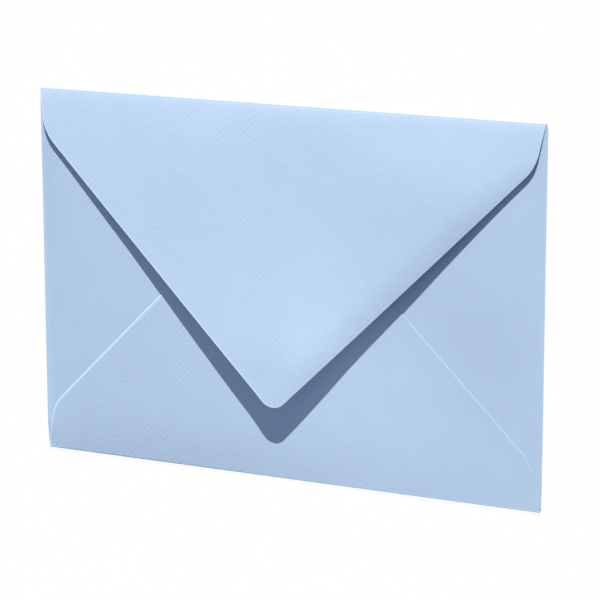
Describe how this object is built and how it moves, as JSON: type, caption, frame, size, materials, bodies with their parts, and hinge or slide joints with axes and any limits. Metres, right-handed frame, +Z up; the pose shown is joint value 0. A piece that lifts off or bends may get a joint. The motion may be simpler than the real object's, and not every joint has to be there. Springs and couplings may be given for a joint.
{
  "type": "paper envelope",
  "caption": "Folded paper envelope lying on its plain front, with a pointed closing flap sprung slightly open over glued side and bottom flaps.",
  "frame": {"origin": "middle of the outline, on the underside of the front panel, where the envelope lies on a surface", "axes": "+X along the long side, +Y towards the fold of the closing flap, +Z up from the surface through the flap side"},
  "size_m": [0.162, 0.114, 0.0073],
  "materials": {
    "paper": "matt, fine diagonal ribs"
  },
  "bodies": {
    "root": {"envelope_sheet": "paper"}
  },
  "joints": []
}
